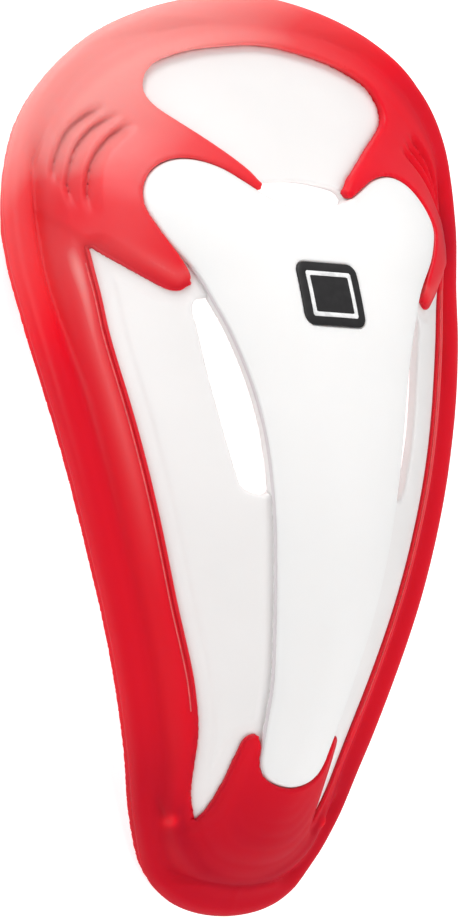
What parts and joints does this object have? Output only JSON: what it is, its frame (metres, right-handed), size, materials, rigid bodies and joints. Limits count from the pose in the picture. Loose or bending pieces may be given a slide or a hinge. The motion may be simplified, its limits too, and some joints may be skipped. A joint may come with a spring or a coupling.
{
  "type": "athletic protective cup",
  "caption": "Adult groin protector: frosted rigid shell with a raised heart-topped centre plate, side vents, and a red gel rim with gripping claws.",
  "frame": {"origin": "centre of the bounding box in plan, on the surface that the back of the rim rests on", "axes": "+X across the width, +Y along the length towards the wide upper end, +Z out of the dome, away from the wearer"},
  "size_m": [0.0948, 0.156, 0.0368],
  "materials": {
    "shell_white": "frosted translucent polycarbonate, satin",
    "plate_white": "frosted translucent polycarbonate, satin",
    "gel_red": "translucent soft elastomer, fine satin grain",
    "badge_ink": "dark pad-printed ink"
  },
  "bodies": {
    "root": {"base_shell": "shell_white", "centre_plate": "plate_white", "gel_perimeter": "gel_red", "badge": "badge_ink"}
  },
  "joints": []
}
